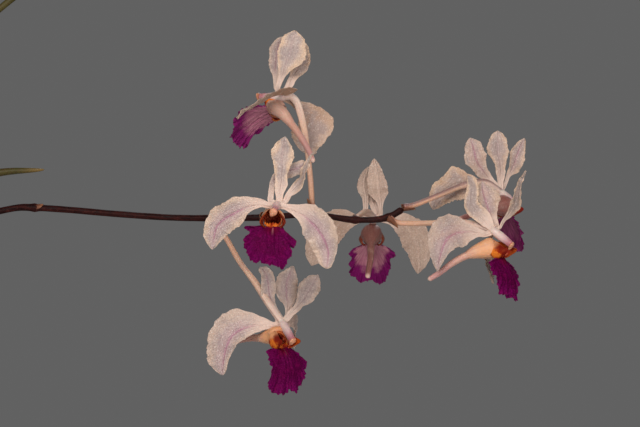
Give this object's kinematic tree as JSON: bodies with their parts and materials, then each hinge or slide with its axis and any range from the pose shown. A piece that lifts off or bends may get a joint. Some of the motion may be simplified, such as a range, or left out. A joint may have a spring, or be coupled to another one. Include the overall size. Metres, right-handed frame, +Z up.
{
  "type": "potted holcoglossum orchid",
  "caption": "Orchid in a plain clay pot of bark: quill-like leaves, thick roots and an arching stalk of spurred white flowers with magenta lips.",
  "frame": {"origin": "centre of the pot's foot, on the surface that the pot stands on", "axes": "+Z up, +X along the level run of the flower stalk, -Y towards the side the flowers are seen from"},
  "size_m": [0.5304, 0.124, 0.4101],
  "materials": {
    "terracotta": "matte",
    "bark": "matte",
    "stem": "matte",
    "leaf": "satin",
    "root": "matte",
    "peduncle": "satin",
    "pedicel": "satin",
    "tepal": "satin",
    "lip": "satin"
  },
  "bodies": {
    "root": {"pot": "terracotta", "bark_mix": "bark", "stem": "stem", "leaf_1": "leaf", "leaf_2": "leaf", "leaf_3": "leaf", "leaf_4": "leaf", "leaf_5": "leaf", "leaf_6": "leaf", "leaf_7": "leaf", "leaf_8": "leaf", "leaf_9": "leaf", "root_1": "root", "root_2": "root", "root_3": "root", "root_4": "root", "root_5": "root", "peduncle": "peduncle", "flower_1_pedicel": "pedicel", "flower_1_lip": "lip", "flower_1_dorsal_sepal": "tepal", "flower_1_petal_left": "tepal", "flower_1_petal_right": "tepal", "flower_1_lateral_sepal_left": "tepal", "flower_1_lateral_sepal_right": "tepal", "flower_2_pedicel": "pedicel", "flower_2_lip": "lip", "flower_2_dorsal_sepal": "tepal", "flower_2_petal_left": "tepal", "flower_2_petal_right": "tepal", "flower_2_lateral_sepal_left": "tepal", "flower_2_lateral_sepal_right": "tepal", "flower_3_pedicel": "pedicel", "flower_3_lip": "lip", "flower_3_dorsal_sepal": "tepal", "flower_3_petal_left": "tepal", "flower_3_petal_right": "tepal", "flower_3_lateral_sepal_left": "tepal", "flower_3_lateral_sepal_right": "tepal", "flower_4_pedicel": "pedicel", "flower_4_lip": "lip", "flower_4_dorsal_sepal": "tepal", "flower_4_petal_left": "tepal", "flower_4_petal_right": "tepal", "flower_4_lateral_sepal_left": "tepal", "flower_4_lateral_sepal_right": "tepal", "flower_5_pedicel": "pedicel", "flower_5_lip": "lip", "flower_5_dorsal_sepal": "tepal", "flower_5_petal_left": "tepal", "flower_5_petal_right": "tepal", "flower_5_lateral_sepal_left": "tepal", "flower_5_lateral_sepal_right": "tepal", "flower_6_pedicel": "pedicel", "flower_6_lip": "lip", "flower_6_dorsal_sepal": "tepal", "flower_6_petal_left": "tepal", "flower_6_petal_right": "tepal", "flower_6_lateral_sepal_left": "tepal", "flower_6_lateral_sepal_right": "tepal"}
  },
  "joints": []
}
